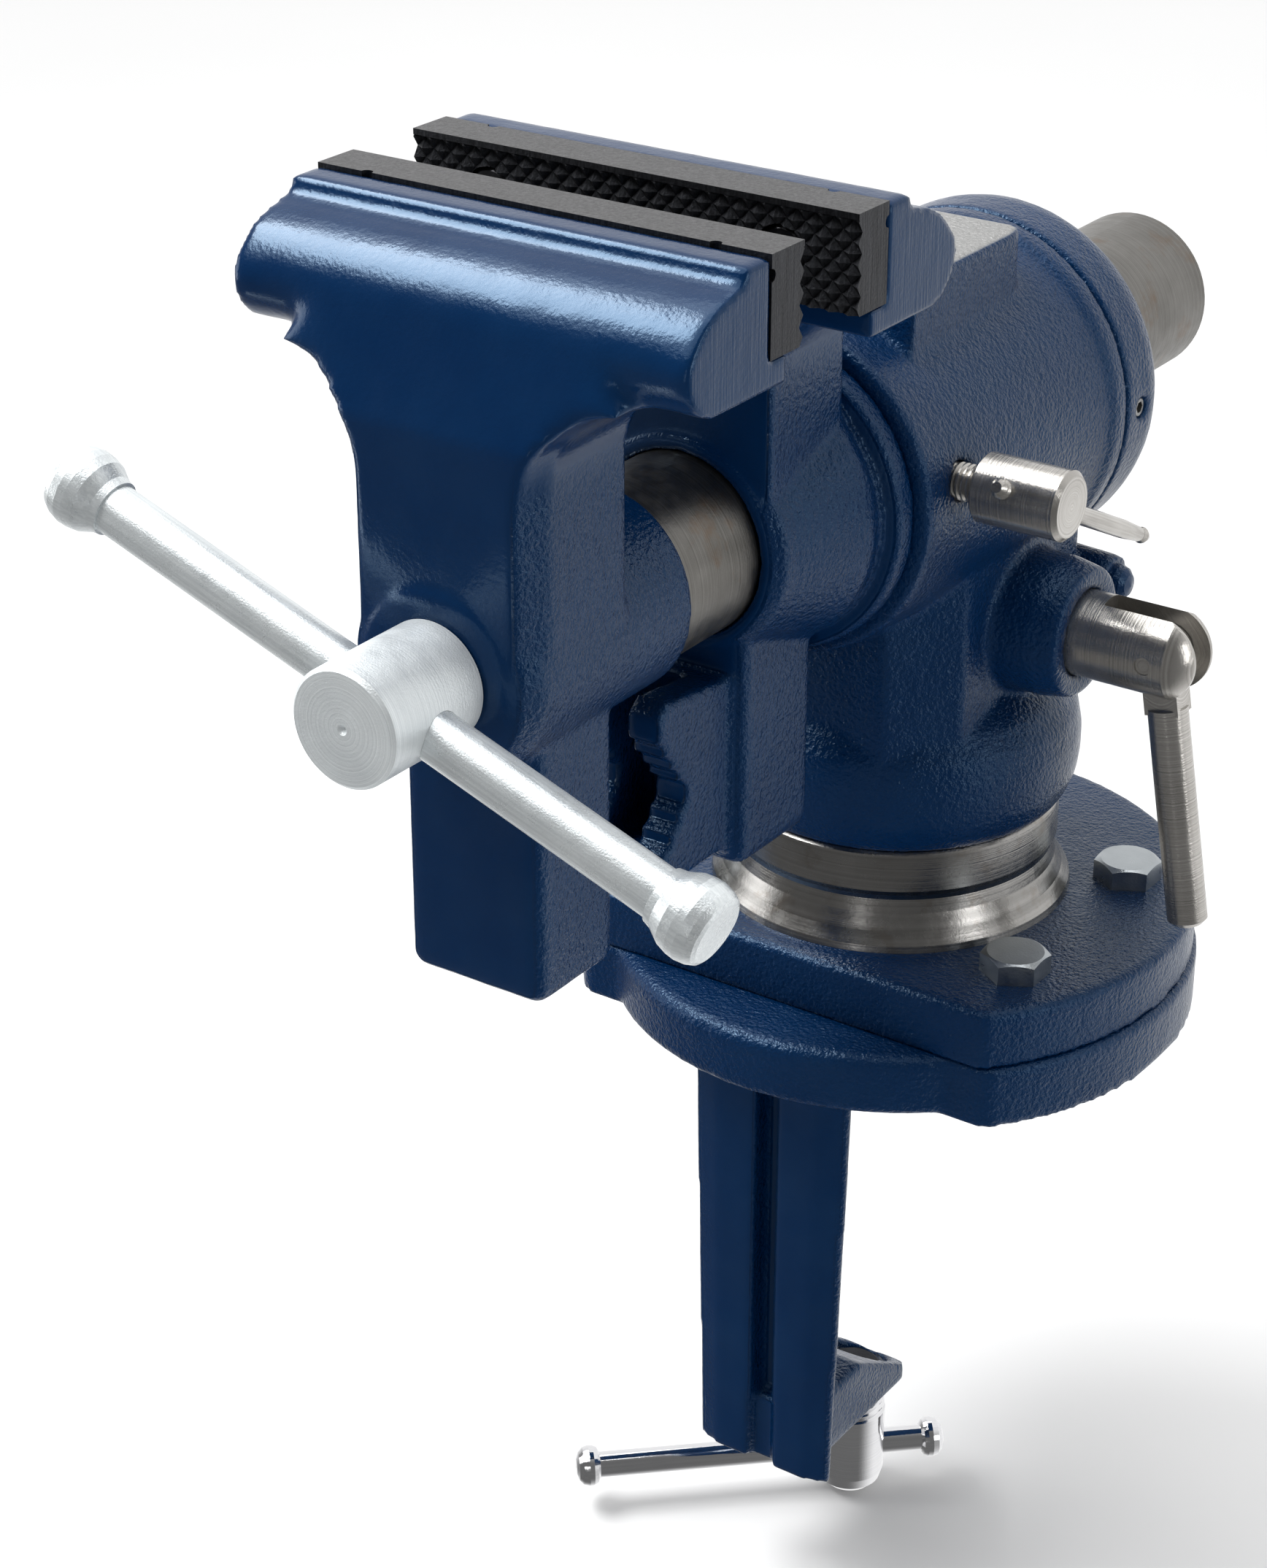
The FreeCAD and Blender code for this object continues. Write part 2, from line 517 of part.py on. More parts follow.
def housing():
    """Swivelling housing: barrel, anvil, neck, swivel socket and the two lock bosses."""
    barrel = turned_y([(0, BARREL_Y0), (BARREL_R0 - 1.2, BARREL_Y0), (BARREL_R0, BARREL_Y0 + 1.2),
                       (BARREL_R1, 24.0), (49.8, 26.0), (RIM_R, 27.0), (RIM_R, BARREL_Y1 - 0.6),
                       (RIM_R - 0.6, BARREL_Y1), (0, BARREL_Y1)])
    anvil = prism_x([(ANVIL_Y0, AXIS_Z), (ANVIL_Y0 + 3, ANVIL_TOP - 3), (ANVIL_Y0 + 6, ANVIL_TOP),
                     (ANVIL_Y1 - 2, ANVIL_TOP), (ANVIL_Y1, ANVIL_TOP - 2), (ANVIL_Y1 + 4, AXIS_Z)],
                    -ANVIL_HALF, ANVIL_HALF)
    anvil = round_edges(anvil, 2.0, lambda e: abs(e.CenterOfMass.z - ANVIL_TOP) < 0.01
                        and is_along(e, Y_DIR))
    plan = box(-ANVIL_HALF, ANVIL_HALF, ANVIL_Y0 - 8, ANVIL_Y1 + 0.5, AXIS_Z - 1, ANVIL_TOP + 1)
    plan = round_edges(plan, 9.0, lambda e: is_along(e, Z_DIR) and e.CenterOfMass.y > ANVIL_Y0)
    anvil = anvil.common(plan)
    neck = prism_z(mirror_outline([(22, -46), (38, -30), (40, 28), (24, 44)]), 70.0, AXIS_Z - 20)
    socket = turned_z([(0, SPIGOT_TOP + GAP), (SPIGOT_R, SPIGOT_TOP + GAP), (50.0, 68.0), (51.9, 73.0),
                       (SOCKET_R, 79.0), (52.5, 85.0), (51.2, 91.7), (47.5, 98.0), (41.0, 104.0),
                       (34.0, 112.0), (32.0, 125.0), (0, 125.0)])
    swivel_boss = turned([(0, 0), (SWIVEL_BOSS_R + 1.5, 0), (SWIVEL_BOSS_R, SWIVEL_BOSS_X - 8),
                          (SWIVEL_BOSS_R - 1.5, SWIVEL_BOSS_X), (0, SWIVEL_BOSS_X)],
                         V(0, 0, SWIVEL_LOCK_Z), X_DIR, Y_DIR)
    plug_boss = turned([(0, 20), (9.0, 20), (7.5, 48.0), (0, 48.0)], V(0, PLUG_Y, PLUG_Z), X_DIR, Y_DIR)
    plug_boss = plug_boss.cut(rod_y(RIM_R + 1.5, BARREL_Y1 - 1, RING_Y1 + 5))
    ring_room = prism_x([(BARREL_Y1, AXIS_Z), (BARREL_Y1, AXIS_Z - RIM_R - 2), (46, AXIS_Z - RIM_R - 18),
                         (60, AXIS_Z - RIM_R - 18), (60, AXIS_Z)], -60, 60)
    casting = fuse(barrel, anvil, neck.cut(ring_room), socket, swivel_boss, plug_boss)
    cuts = [rod_y(SLEEVE_R + FIT, BARREL_Y0 - 1, BARREL_Y1 + 1),
            rod_z(POST_R + FIT, SPIGOT_TOP - 1, POST_TOP + 1.5),
            rod_x(HEAD_LOCK_R, 20, 60, HEAD_LOCK_Y, HEAD_LOCK_Z),
            rod_x(SWIVEL_SHAFT_R + FIT, 36.5, 60, 0, SWIVEL_LOCK_Z),
            rod_x(6.0 + FIT, 20, 40, 0, SWIVEL_LOCK_Z),
            rod_x(3.0, 30, 49, PLUG_Y, PLUG_Z)]
    return casting.cut(cuts)


def grease_plug():
    """Domed plug in the small rear boss."""
    return turned([(0, 34.0), (2.4, 34.0), (3.0, 34.6), (3.0, 48.0), (5.2, 48.0), (5.2, 49.5), (4.6, 51.2),
                   (3.0, 52.6), (0, 53.2)], V(0, PLUG_Y, PLUG_Z), X_DIR, Y_DIR)


# ---- head lock ---------------------------------------------------------------
def lock_bar_dir():
    """Direction of the head-lock bar, in the plane across its screw."""
    tilt = math.radians(LOCK_BAR_TILT)
    return V(0, math.cos(tilt), math.sin(tilt))


def head_lock_screw():
    """Clamping screw of the rotating head with a cross-drilled head."""
    origin = V(0, HEAD_LOCK_Y, HEAD_LOCK_Z)
    profile = [(0, 35.2), (3.6, 35.2), (4.9, 36.5)]
    x = 36.5
    while x + 1.5 < LOCK_HEAD_X0 - 0.5:
        profile += [(4.95, x + 0.5), (4.2, x + 1.25), (4.95, x + 1.5)]
        x += 1.5
    profile += [(4.3, LOCK_HEAD_X0), (LOCK_HEAD_R - 0.8, LOCK_HEAD_X0), (LOCK_HEAD_R, LOCK_HEAD_X0 + 0.8),
                (LOCK_HEAD_R, LOCK_HEAD_X1 - 1.2), (LOCK_HEAD_R - 1.2, LOCK_HEAD_X1), (0, LOCK_HEAD_X1)]
    screw = turned(profile, origin, X_DIR, Y_DIR)
    cross = Part.makeCylinder(LOCK_BAR_R + FIT, 40, V(LOCK_BAR_X, HEAD_LOCK_Y, HEAD_LOCK_Z)
                              - lock_bar_dir() * 20, lock_bar_dir())
    return screw.cut(cross)


def head_lock_bar():
    """Thin bar through the head-lock screw, pinched at both ends."""
    origin = V(LOCK_BAR_X, HEAD_LOCK_Y, HEAD_LOCK_Z)
    profile = [(0, -12.6), (1.4, -12.6), (2.4, -11.2), (2.1, -10.2), (LOCK_BAR_R, -9.4),
               (LOCK_BAR_R, 68.0), (2.1, 78.4), (1.8, 79.8), (2.3, 81.2), (1.5, 83.8), (0, 84.6)]
    return turned(profile, origin, lock_bar_dir(), X_DIR)


def head_lock_shoe():
    """Brass shoe between the head-lock screw and the sleeve."""
    shoe = rod_x(HEAD_LOCK_R - 0.1, 30.0, 35.0, HEAD_LOCK_Y, HEAD_LOCK_Z)
    return shoe.cut(rod_y(SLEEVE_R + FIT, BARREL_Y0, BARREL_Y1))


# ---- swivel lock -------------------------------------------------------------
def swivel_shaft():
    """Lock shaft with a slotted, round-ended clevis."""
    body = turned([(0, 31.0), (5.2, 31.0), (6.0, 31.8), (6.0, 37.0), (11.2, 37.0), (SWIVEL_SHAFT_R, 37.8),
                   (SWIVEL_SHAFT_R, CLEVIS_PIN_X + 14), (0, CLEVIS_PIN_X + 14)],
                  V(0, 0, SWIVEL_LOCK_Z), X_DIR, Y_DIR)
    eye = rod_y(SWIVEL_SHAFT_R, -20, 20, CLEVIS_PIN_X, SWIVEL_LOCK_Z)
    stem = box(20, CLEVIS_PIN_X, -20, 20, SWIVEL_LOCK_Z - 20, SWIVEL_LOCK_Z + 20)
    body = body.common(fuse(stem, eye))
    body = body.common(Part.makeSphere(SWIVEL_SHAFT_R + 1.2, V(CLEVIS_PIN_X, 0, SWIVEL_LOCK_Z))
                       .fuse(box(20, CLEVIS_PIN_X, -20, 20, SWIVEL_LOCK_Z - 20, SWIVEL_LOCK_Z + 20)))
    slot = box(CLEVIS_PIN_X - 16, CLEVIS_PIN_X + 20, -4.3, 4.3, SWIVEL_LOCK_Z - 20, SWIVEL_LOCK_Z + 20)
    return body.cut([slot, rod_y(2.5, -20, 20, CLEVIS_PIN_X, SWIVEL_LOCK_Z)])


def clevis_pin():
    """Pin that carries the folding lever."""
    return rod_y(2.5, -11.4, 11.4, CLEVIS_PIN_X, SWIVEL_LOCK_Z)


def swivel_lever():
    """Folding lever: round rod notched flat at its top to fit the clevis slot."""
    origin = V(CLEVIS_PIN_X, 0, SWIVEL_LOCK_Z)
    rod = turned([(0, 15.5), (LEVER_R, 15.5), (LEVER_R, LEVER_LEN - 1.4), (LEVER_R - 1.4, LEVER_LEN),
                  (0, LEVER_LEN)], origin, Z_DIR * -1, X_DIR)
    tongue = box(CLEVIS_PIN_X - 5.0, CLEVIS_PIN_X + 5.0, -4.0, 4.0, SWIVEL_LOCK_Z - 17, SWIVEL_LOCK_Z)
    eye = rod_y(7.0, -4.0, 4.0, CLEVIS_PIN_X, SWIVEL_LOCK_Z)
    lever = fuse(rod, tongue, eye).cut(rod_y(2.5 + FIT, -10, 10, CLEVIS_PIN_X, SWIVEL_LOCK_Z))
    lever.rotate(origin, Y_DIR, -LEVER_LEAN)
    return lever


def swivel_plunger():
    """Plunger that presses into the groove of the swivel post."""
    return turned([(0, 27.9), (2.6, 27.9), (4.8, 30.2), (4.8, 30.9), (0, 30.9)],
                  V(0, 0, SWIVEL_LOCK_Z), X_DIR, Y_DIR)


# ---- base and table clamp ----------------------------------------------------
def base_outline(radius):
    """Round plate outline cut straight at the front."""
    half = math.sqrt(radius ** 2 - BASE_FLAT_Y ** 2)
    arc = Part.Arc(V(half, BASE_FLAT_Y, 0), V(0, radius, 0), V(-half, BASE_FLAT_Y, 0)).toShape()
    flat = Part.LineSegment(V(-half, BASE_FLAT_Y, 0), V(half, BASE_FLAT_Y, 0)).toShape()
    return Part.Face(Part.Wire([arc, flat]))


def bolt_centres():
    """The four clamping bolts of the base."""
    return [(sx * BOLT_X, sy * BOLT_Y) for sx in (-1, 1) for sy in (-1, 1)]


def base_plate():
    """Upper base plate, bolted on the clamp bracket."""
    plate = base_outline(BASE_R).extrude(V(0, 0, PLATE_Z1 - PLATE_Z0))
    plate = round_edges(plate, 5.0, lambda e: is_along(e, Z_DIR))
    plate = plate.makeFillet(1.6, [e for e in plate.Edges
                                   if abs(e.CenterOfMass.z - (PLATE_Z1 - PLATE_Z0)) < 0.01])
    plate.translate(V(0, 0, PLATE_Z0))
    cuts = [rod_z(38.0, PLATE_Z0 + 5, PLATE_Z1 + 1)]
    cuts += [rod_z(BOLT_R, PLATE_Z0 - 1, PLATE_Z1 + 1, x, y) for x, y in bolt_centres()]
    return plate.cut(cuts)


def swivel_spigot():
    """Turned steel spigot pressed in the base plate; the housing turns on its post."""
    return turned_z([(0, PLATE_Z0 + 5), (38.0, PLATE_Z0 + 5), (38.0, PLATE_Z1), (52.0, PLATE_Z1),
                     (51.6, 37.0), (49.2, 40.5), (47.2, 45.0), (46.4, 49.0), (46.8, 50.5), (SPIGOT_R, 52.0),
                     (SPIGOT_R, SPIGOT_TOP - 0.8), (SPIGOT_R - 0.8, SPIGOT_TOP), (POST_R, SPIGOT_TOP),
                     (POST_R, SWIVEL_LOCK_Z - 5.6), (27.4, SWIVEL_LOCK_Z - 3.0), (27.4, SWIVEL_LOCK_Z + 3.0),
                     (POST_R, SWIVEL_LOCK_Z + 5.6), (POST_R, POST_TOP - 1.5), (POST_R - 1.5, POST_TOP),
                     (0, POST_TOP)])


def base_bolts():
    """Four hex bolts that join the base plate and the bracket."""
    bolts = []
    for x, y in bolt_centres():
        centre = V(x, y, PLATE_Z1)
        head = Part.Face(hexagon(centre, Z_DIR, Y_DIR, BOLT_AF)).extrude(Z_DIR * BOLT_HEAD_H)
        crown = turned([(0, 0), (9.9, 0), (9.9, BOLT_HEAD_H - 1.1), (7.9, BOLT_HEAD_H), (0, BOLT_HEAD_H)],
                       centre, Z_DIR, X_DIR)
        bolts.append(fuse(head.common(crown), rod_z(BOLT_R, PLATE_Z0 - 13.0, PLATE_Z1 + 1, x, y)))
    return Part.makeCompound(bolts)


def column_section(z, scale):
    """Grooved wedge section of the clamp column at one height."""
    half = [(3.8, COLUMN_FRONT_Y + 8.0), (3.8, COLUMN_FRONT_Y), (16.2 * scale, COLUMN_FRONT_Y),
            (24.8 * scale, COLUMN_FRONT_Y + 2.5), (24.8 * scale, COLUMN_FRONT_Y + 4.5),
            (15.0 * scale, COLUMN_FRONT_Y + 16.0), (8.0 * scale, COLUMN_FRONT_Y + 24.0)]
    outline = mirror_outline(half)
    return Part.makePolygon([V(x, y, z) for x, y in outline + outline[:1]])


def clamp_bracket():
    """Lower plate, grooved column and arm of the table clamp in one casting."""
    plate = base_outline(BASE_R + 1.2).extrude(V(0, 0, PLATE_Z0))
    plate = round_edges(plate, 6.0, lambda e: is_along(e, Z_DIR))
    pad = turned_z([(0, 0), (PAD_R - 1.5, 0), (PAD_R, 1.5), (PAD_R, PLATE_Z0 - 2.0),
                    (PAD_R - 2.0, PLATE_Z0), (0, PLATE_Z0)])
    column = Part.makeLoft([column_section(1.0, 1.05), column_section(ARM_BOTTOM, 0.9)], True, True)
    arm_half = mirror_outline([(11.0, ARM_END_Y), (14.5, ARM_END_Y - 6), (15.5, COLUMN_FRONT_Y + 3)])
    arm = prism_z(arm_half, ARM_BOTTOM, ARM_TOP)
    slope = prism_x([(ARM_END_Y + 1, ARM_LIP_Z), (ARM_END_Y, ARM_LIP_Z), (ARM_SLOPE_Y, ARM_TOP + 1),
                     (ARM_END_Y + 1, ARM_TOP + 1)], -30, 30)
    heel = prism_x([(COLUMN_FRONT_Y + 20, ARM_TOP), (COLUMN_FRONT_Y + 20, ARM_TOP + 14),
                    (COLUMN_FRONT_Y + 32, ARM_TOP)], -6.0, 6.0)
    casting = fuse(plate, pad, column, arm, heel)
    cuts = [slope, rod_z(CLAMP_R + FIT, ARM_BOTTOM - 1, ARM_TOP + 1, 0, CLAMP_Y)]
    cuts += [rod_z(BOLT_R, PLATE_Z0 - 14.0, PLATE_Z0 + 1, x, y) for x, y in bolt_centres()]
    return casting.cut(cuts)


def clamp_bar_dir():
    """Direction of the clamp bar."""
    a = math.radians(CLAMP_BAR_ANGLE)
    return V(math.cos(a), math.sin(a), 0)


def clamp_screw():
    """Stout clamp screw with a cross-drilled, rounded lower end."""
    profile = [(0, -179.0), (4.0, -178.8), (7.5, -177.8), (9.6, -175.6), (10.6, -172.0), (10.6, -150.0),
               (CLAMP_R - 1.2, -149.0)]
    z = -149.0
    while z + 2.5 < PAD_TOP - 3.2:
        profile += [(CLAMP_R, z + 0.8), (CLAMP_R, z + 1.3), (CLAMP_R - 1.2, z + 2.1),
                    (CLAMP_R - 1.2, z + 2.5)]
        z += 2.5
    profile += [(CLAMP_R - 1.2, PAD_TOP - 3.1), (4.0, PAD_TOP - 3.1), (4.0, PAD_TOP - 1.4),
                (0, PAD_TOP - 1.4)]
    screw = turned_z(profile, CLAMP_Y)
    cross = Part.makeCylinder(CLAMP_BAR_R + FIT, 40, V(0, CLAMP_Y, CLAMP_BAR_Z) - clamp_bar_dir() * 20,
                              clamp_bar_dir())
    return screw.cut(cross)


def clamp_pad():
    """Swivel pad on top of the clamp screw."""
    return turned_z([(4.0 + FIT, PAD_TOP - 2.9), (8.3, PAD_TOP - 2.9), (8.8, PAD_TOP - 2.4),
                     (8.8, PAD_TOP - 0.8), (8.0, PAD_TOP), (0, PAD_TOP), (0, PAD_TOP - 1.3),
                     (4.0 + FIT, PAD_TOP - 1.3)], CLAMP_Y)


def clamp_bar():
    """Sliding bar of the clamp screw."""
    origin = V(0, CLAMP_Y, CLAMP_BAR_Z) + clamp_bar_dir() * CLAMP_BAR_SHIFT
    half = CLAMP_BAR_HALF
    return turned([(0, -half), (2.8, -half), (2.8, -half + 5), (CLAMP_BAR_R, -half + 5),
                   (CLAMP_BAR_R, half - 5), (2.8, half - 5), (2.8, half), (0, half)],
                  origin, clamp_bar_dir(), Z_DIR)


def clamp_bar_ends():
    """Mushroom ends of the clamp bar."""
    ends = []
    for sign in (-1, 1):
        along = clamp_bar_dir() * sign
        origin = V(0, CLAMP_Y, CLAMP_BAR_Z) + clamp_bar_dir() * CLAMP_BAR_SHIFT
        origin += along * (CLAMP_BAR_HALF - 5.0)
        ends.append(turned([(2.8, 0), (4.4, 0), (5.6, 0.7), (6.2, 2.0), (6.3, 3.4), (5.8, 5.2), (4.4, 6.5),
                            (2.4, 7.2), (0, 7.3), (0, 5.0), (2.8, 5.0)], origin, along, Z_DIR))
    return Part.makeCompound(ends)


NODES = {
    "clamp_bracket": clamp_bracket,
    "base_plate": base_plate,
    "swivel_spigot": swivel_spigot,
    "base_bolts": base_bolts,
    "housing": housing,
    "grease_plug": grease_plug,
    "head_lock_screw": head_lock_screw,
    "head_lock_bar": head_lock_bar,
    "head_lock_shoe": head_lock_shoe,
    "swivel_shaft": swivel_shaft,
    "clevis_pin": clevis_pin,
    "swivel_lever": swivel_lever,
    "swivel_plunger": swivel_plunger,
    "rear_jaw": rear_jaw,
    "rear_jaw_plate": lambda: jaw_plate(REAR_SEAT_Y, 1),
    "rear_plate_screws": lambda: plate_screws(REAR_SEAT_Y, 1),
    "head_sleeve": head_sleeve,
    "retaining_ring": retaining_ring,
    "ring_screws": ring_screws,
    "spindle_nut": spindle_nut,
    "nut_stud": lambda: rod_z(STUD_R, AXIS_Z - SLEEVE_R + 0.4, AXIS_Z - 11.5, 0, STUD_Y),
    "front_jaw": front_jaw,
    "front_jaw_plate": lambda: jaw_plate(FRONT_SEAT_Y, -1),
    "front_plate_screws": lambda: plate_screws(FRONT_SEAT_Y, -1),
    "slide_tube": slide_tube,
    "tube_grub": lambda: rod_z(3.0, AXIS_Z + TUBE_BORE_R + 0.6, AXIS_Z + FRONT_BOSS_R - 0.4, 0, -150.0),
    "spindle": spindle_core,
    "spindle_head": spindle_head,
    "spindle_collar": spindle_collar,
    "collar_pin": lambda: rod_x(2.0, -15.5, 15.5, -191.5, AXIS_Z),
    "handle_bar": handle_bar,
    "handle_knobs": handle_knobs,
    "clamp_screw": clamp_screw,
    "clamp_pad": clamp_pad,
    "clamp_bar": clamp_bar,
    "clamp_bar_ends": clamp_bar_ends,
}

os.makedirs("parts", exist_ok=True)
for name, build in NODES.items():
    export(name, build())
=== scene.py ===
import logging
import math
from dataclasses import dataclass, field
from enum import Enum

import bmesh
import bpy
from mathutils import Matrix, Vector


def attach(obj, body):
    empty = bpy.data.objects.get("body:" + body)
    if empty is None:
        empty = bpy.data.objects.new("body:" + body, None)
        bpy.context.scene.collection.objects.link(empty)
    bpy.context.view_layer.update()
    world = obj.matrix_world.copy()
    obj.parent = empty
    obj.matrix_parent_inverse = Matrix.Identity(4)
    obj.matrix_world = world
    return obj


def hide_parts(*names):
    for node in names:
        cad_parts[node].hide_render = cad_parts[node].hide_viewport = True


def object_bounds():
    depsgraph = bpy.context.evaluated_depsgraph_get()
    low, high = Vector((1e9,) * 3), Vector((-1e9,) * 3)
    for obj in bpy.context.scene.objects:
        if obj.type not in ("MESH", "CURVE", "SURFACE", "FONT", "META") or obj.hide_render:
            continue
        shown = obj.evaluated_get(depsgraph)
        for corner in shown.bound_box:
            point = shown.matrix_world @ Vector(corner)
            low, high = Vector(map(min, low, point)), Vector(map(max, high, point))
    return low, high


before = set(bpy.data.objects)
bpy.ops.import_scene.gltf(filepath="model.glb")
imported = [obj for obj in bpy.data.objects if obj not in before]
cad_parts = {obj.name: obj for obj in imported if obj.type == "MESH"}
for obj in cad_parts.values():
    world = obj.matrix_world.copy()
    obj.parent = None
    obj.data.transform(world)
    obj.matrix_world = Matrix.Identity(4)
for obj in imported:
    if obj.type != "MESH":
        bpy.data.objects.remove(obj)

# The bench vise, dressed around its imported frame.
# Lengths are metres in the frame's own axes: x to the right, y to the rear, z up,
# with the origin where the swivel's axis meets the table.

LOG = logging.getLogger("bench_vise")
CAD_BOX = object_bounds()

Colour = tuple[float, float, float]
Point = tuple[float, float, float]
Socket = bpy.types.NodeSocket

MAIN_AXIS = (0.0, 0.0, 0.174)          # axis of the jaws, spindle and barrel, along y
LOCK_AXIS = (0.0, -0.0495, 0.1805)     # axis of the head-lock screw, along x
SWIVEL_LOCK_AXIS = (0.0, 0.0, 0.124)   # axis of the swivel-lock shaft, along x
CLAMP_AXIS = (0.0, -0.0115, 0.0)       # axis of the table clamp screw, along z


class Axis(Enum):
    """A direction of the frame."""

    X = (1.0, 0.0, 0.0)
    Y = (0.0, 1.0, 0.0)
    Z = (0.0, 0.0, 1.0)


class Lay(Enum):
    """How the marks on a steel surface lie."""

    GRAINY = "grainy"    # plated or blasted, with no direction
    TURNED = "turned"    # rings round an axis, from a lathe
    DRAWN = "drawn"      # fine lines along an axis


def scaled(colour: Colour, factor: float) -> Colour:
    """Returns a colour made darker or lighter by a factor."""
    return tuple(factor * part for part in colour)


# ---- shader building ------------------------------------------------------------
class Shader:
    """One material and the nodes that make its look."""

    def __init__(self, name: str) -> None:
        """Makes the material with an empty principled surface.

        Args:
            name: the material's name.
        """
        self.material = bpy.data.materials.new(name)
        self.material.use_nodes = True
        self.tree = self.material.node_tree
        self.surface = self.tree.nodes["Principled BSDF"]
        coordinates = self.tree.nodes.new("ShaderNodeTexCoord")
        self.position = coordinates.outputs["Object"]
        self.normal = coordinates.outputs["Normal"]

    def link(self, value: object, socket: Socket) -> None:
        """Feeds a socket from another one, or sets it to a constant.

        Args:
            value: a node output, a number, a colour or a vector.
            socket: the input that takes it.
        """
        if isinstance(value, bpy.types.NodeSocket):
            self.tree.links.new(value, socket)
        elif socket.type == "RGBA":
            socket.default_value = (*value, 1.0)
        else:
            socket.default_value = value

    def set(self, **values: object) -> None:
        """Feeds the surface's inputs by name, with underscores for spaces.

        Args:
            values: what each input takes.
        """
        for name, value in values.items():
            self.link(value, self.surface.inputs[name.replace("_", " ")])

    def maths(self, operation: str, a: object, b: object = 0.0, clamp: bool = False) -> Socket:
        """Returns a sum, product or other result of two values.

        Args:
            operation: Blender's name for it, such as ADD.
            a: the first value.
            b: the second value.
            clamp: keeps the result between 0 and 1.

        Returns:
            The result's socket.
        """
        node = self.tree.nodes.new("ShaderNodeMath")
        node.operation, node.use_clamp = operation, clamp
        self.link(a, node.inputs[0])
        self.link(b, node.inputs[1])
        return node.outputs[0]

    def vector(self, operation: str, a: object, b: object) -> bpy.types.Node:
        """Returns a vector maths node of two vectors.

        Args:
            operation: Blender's name for it, such as CROSS_PRODUCT.
            a: the first vector.
            b: the second vector.

        Returns:
            The node, with its Vector and Value outputs.
        """
        node = self.tree.nodes.new("ShaderNodeVectorMath")
        node.operation = operation
        self.link(a, node.inputs[0])
        self.link(b, node.inputs[1])
        return node

    def along(self, vector: Socket, direction: Point) -> Socket:
        """Returns how far a vector reaches along a direction.

        Args:
            vector: the vector's socket.
            direction: a unit direction.

        Returns:
            The length's socket.
        """
        return self.vector("DOT_PRODUCT", vector, direction).outputs["Value"]

    def remap(self, value: object, low: float, high: float,
              start: float = 0.0, end: float = 1.0) -> Socket:
        """Returns a value stretched from one range to another, and kept in it.

        Args:
            value: what is stretched.
            low: the value that becomes start.
            high: the value that becomes end.
            start: the new range's first end.
            end: the new range's last end.

        Returns:
            The new value's socket.
        """
        node = self.tree.nodes.new("ShaderNodeMapRange")
        node.clamp = True
        for socket, item in zip(node.inputs, (value, low, high, start, end)):
            self.link(item, socket)
        return node.outputs[0]

    def noise(self, scale: float, detail: float = 2.0, stretch: Point = (1.0, 1.0, 1.0),
              roughness: float = 0.5, where: Socket | None = None) -> Socket:
        """Returns a cloudy value round 0.5.

        Args:
            scale: clouds per metre.
            detail: how many finer layers it has.
            stretch: factors along x, y and z: a small one draws the clouds out.
            roughness: how strong the finer layers are.
            where: the coordinates it is laid on, which are the piece's own if left out.

        Returns:
            The value's socket.
        """
        node = self.tree.nodes.new("ShaderNodeTexNoise")
        node.inputs["Scale"].default_value = scale
        node.inputs["Detail"].default_value = detail
        node.inputs["Roughness"].default_value = roughness
        place = self.position if where is None else where
        self.link(self.vector("MULTIPLY", place, stretch).outputs["Vector"], node.inputs["Vector"])
        return node.outputs[0]

    def lines(self, distance: Socket, per_metre: float) -> Socket:
        """Returns uneven stripes that change only with one distance.

        Args:
            distance: the distance's socket, in metres.
            per_metre: how many stripes there are in a metre.

        Returns:
            The stripes' socket.
        """
        node = self.tree.nodes.new("ShaderNodeTexNoise")
        node.noise_dimensions = "1D"
        self.link(self.maths("MULTIPLY", distance, per_metre), node.inputs["W"])
        node.inputs["Scale"].default_value = 1.0
        node.inputs["Detail"].default_value = 3.0
        node.inputs["Roughness"].default_value = 0.6
        return node.outputs[0]

    def blend(self, share: object, first: object, second: object) -> Socket:
        """Returns a mix of two colours.

        Args:
            share: how much of the second colour there is.
            first: the colour at 0.
            second: the colour at 1.

        Returns:
            The colour's socket.
        """
        node = self.tree.nodes.new("ShaderNodeMix")
        node.data_type = "RGBA"
        self.link(share, node.inputs[0])
        self.link(first, node.inputs[6])
        self.link(second, node.inputs[7])
        return node.outputs[2]

    def relief(self, height: Socket, depth: float, over: Socket | None = None) -> Socket:
        """Returns a normal that follows a fine relief.

        Args:
            height: the relief, from 0 to 1.
            depth: its whole depth, in metres.
            over: another relief's normal that it lies on.

        Returns:
            The normal's socket.
        """
        node = self.tree.nodes.new("ShaderNodeBump")
        node.inputs["Strength"].default_value = 1.0
        node.inputs["Distance"].default_value = depth
        self.link(height, node.inputs["Height"])
        if over is not None:
            self.link(over, node.inputs["Normal"])
        return node.outputs[0]


@dataclass(frozen=True)
class Zone:
    """A part of a casting: where it looks one way, or lies in one band."""

    axis: Axis
    low: float
    high: float
    facing: bool = False
    both_sides: bool = False

    def share(self, shader: Shader) -> Socket:
        """Returns 1 inside the zone and 0 outside it.

        Args:
            shader: the material that it is for.

        Returns:
            The share's socket.
        """
        reach = shader.along(shader.normal if self.facing else shader.position, self.axis.value)
        if self.both_sides:
            reach = shader.maths("ABSOLUTE", reach)
        return shader.remap(reach, self.low, self.high)


